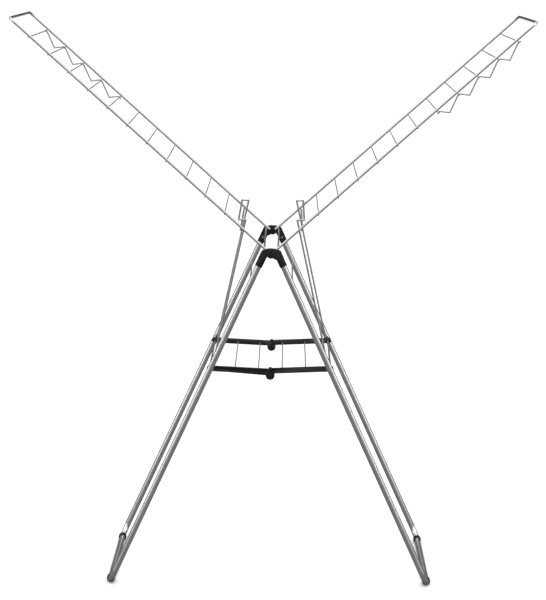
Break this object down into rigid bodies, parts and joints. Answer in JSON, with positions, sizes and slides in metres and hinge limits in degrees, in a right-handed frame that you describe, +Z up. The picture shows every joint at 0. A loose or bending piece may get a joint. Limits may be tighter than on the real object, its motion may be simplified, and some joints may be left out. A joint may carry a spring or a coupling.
{
  "type": "clothes drying rack",
  "caption": "Folding indoor clothes drying rack: bent-tube A-frame legs, two raised wings strung with drying wires, wire props and a folding tie shelf",
  "frame": {"origin": "on the floor, at the middle of the open rack", "axes": "+Z up, +X from the left wing to the right wing, +Y away from the near side along the drying wires"},
  "size_m": [1.3526, 0.5694, 1.4808],
  "materials": {
    "tube_paint": "satin silver-grey powder coat on steel tube",
    "wire_paint": "satin silver-grey powder coat on steel wire",
    "black_plastic": "moulded black plastic, fine grain",
    "foot_plastic": "soft black plastic sole",
    "bright_steel": "plated steel pins and rivets"
  },
  "bodies": {
    "left_leg": {"left_leg_tube": "tube_paint", "near_left_hinge": "black_plastic", "far_left_hinge": "black_plastic", "apex_pins": "bright_steel", "left_sleeve_rivets": "bright_steel", "left_stay_rod": "wire_paint", "left_brackets": "black_plastic", "left_pivot_rod": "bright_steel", "left_feet": "foot_plastic"},
    "right_leg": {"right_leg_tube": "tube_paint", "near_right_hinge": "black_plastic", "far_right_hinge": "black_plastic", "right_sleeve_rivets": "bright_steel", "right_stay_rod": "wire_paint", "right_brackets": "black_plastic", "right_pivot_pins": "bright_steel", "right_feet": "foot_plastic"},
    "left_shelf": {"near_left_arm": "black_plastic", "far_left_arm": "black_plastic", "left_inner_shelf_wire": "wire_paint", "left_outer_shelf_wire": "wire_paint", "knuckle_pins": "bright_steel"},
    "right_shelf": {"near_right_arm": "black_plastic", "far_right_arm": "black_plastic", "right_inner_shelf_wire": "wire_paint", "right_outer_shelf_wire": "wire_paint", "shelf_end_rod": "bright_steel"},
    "left_prop": {"left_prop": "wire_paint"},
    "right_prop": {"right_prop": "wire_paint"},
    "left_wing": {"left_wing_frame": "tube_paint", "left_wing_rod": "bright_steel", "left_catch_rod": "wire_paint", "left_hanger_wire": "wire_paint", "left_drying_wire_1": "wire_paint", "left_drying_wire_2": "wire_paint", "left_drying_wire_3": "wire_paint", "left_drying_wire_4": "wire_paint", "left_drying_wire_5": "wire_paint", "left_drying_wire_6": "wire_paint", "left_drying_wire_7": "wire_paint", "left_drying_wire_8": "wire_paint", "left_drying_wire_9": "wire_paint", "left_drying_wire_10": "wire_paint", "left_drying_wire_11": "wire_paint"},
    "right_wing": {"right_wing_frame": "tube_paint", "right_wing_rod": "bright_steel", "right_catch_rod": "wire_paint", "right_hanger_wire": "wire_paint", "right_drying_wire_1": "wire_paint", "right_drying_wire_2": "wire_paint", "right_drying_wire_3": "wire_paint", "right_drying_wire_4": "wire_paint", "right_drying_wire_5": "wire_paint", "right_drying_wire_6": "wire_paint", "right_drying_wire_7": "wire_paint", "right_drying_wire_8": "wire_paint", "right_drying_wire_9": "wire_paint", "right_drying_wire_10": "wire_paint", "right_drying_wire_11": "wire_paint"}
  },
  "joints": [
    {"name": "leg_fold", "type": "hinge", "parent": "left_leg", "child": "right_leg", "pos_m": [0, 0, 0.88], "axis": [0, 1, 0], "range_deg": [0, 49.2]},
    {"name": "left_shelf_fold", "type": "hinge", "parent": "left_leg", "child": "left_shelf", "pos_m": [-0.15729, 0, 0.57368], "axis": [0, -1, 0], "range_deg": [0, 66.2]},
    {"name": "shelf_knuckle", "type": "hinge", "parent": "left_shelf", "child": "right_shelf", "pos_m": [0, 0, 0.55668], "axis": [0, 1, 0], "range_deg": [0, 181.4]},
    {"name": "left_wing_fold", "type": "hinge", "parent": "left_leg", "child": "left_wing", "pos_m": [-0.01799, 0, 0.88395], "axis": [0, -1, 0], "range_deg": [0, 98]},
    {"name": "right_wing_fold", "type": "hinge", "parent": "right_leg", "child": "right_wing", "pos_m": [0.01799, 0, 0.88395], "axis": [0, 1, 0], "range_deg": [0, 98]},
    {"name": "left_prop_swing", "type": "hinge", "parent": "left_leg", "child": "left_prop", "pos_m": [-0.15729, 0, 0.57368], "axis": [0, 1, 0], "range_deg": [0, 9.4]},
    {"name": "right_prop_swing", "type": "hinge", "parent": "right_leg", "child": "right_prop", "pos_m": [0.15729, 0, 0.57368], "axis": [0, -1, 0], "range_deg": [0, 9.4]}
  ],
  "couplings": [
    {"joint": "left_shelf_fold", "follows": "leg_fold", "ratio": 1.3404},
    {"joint": "shelf_knuckle", "follows": "leg_fold", "ratio": 3.6807},
    {"joint": "left_prop_swing", "follows": "left_wing_fold", "ratio": 0.095},
    {"joint": "right_prop_swing", "follows": "right_wing_fold", "ratio": 0.095}
  ]
}
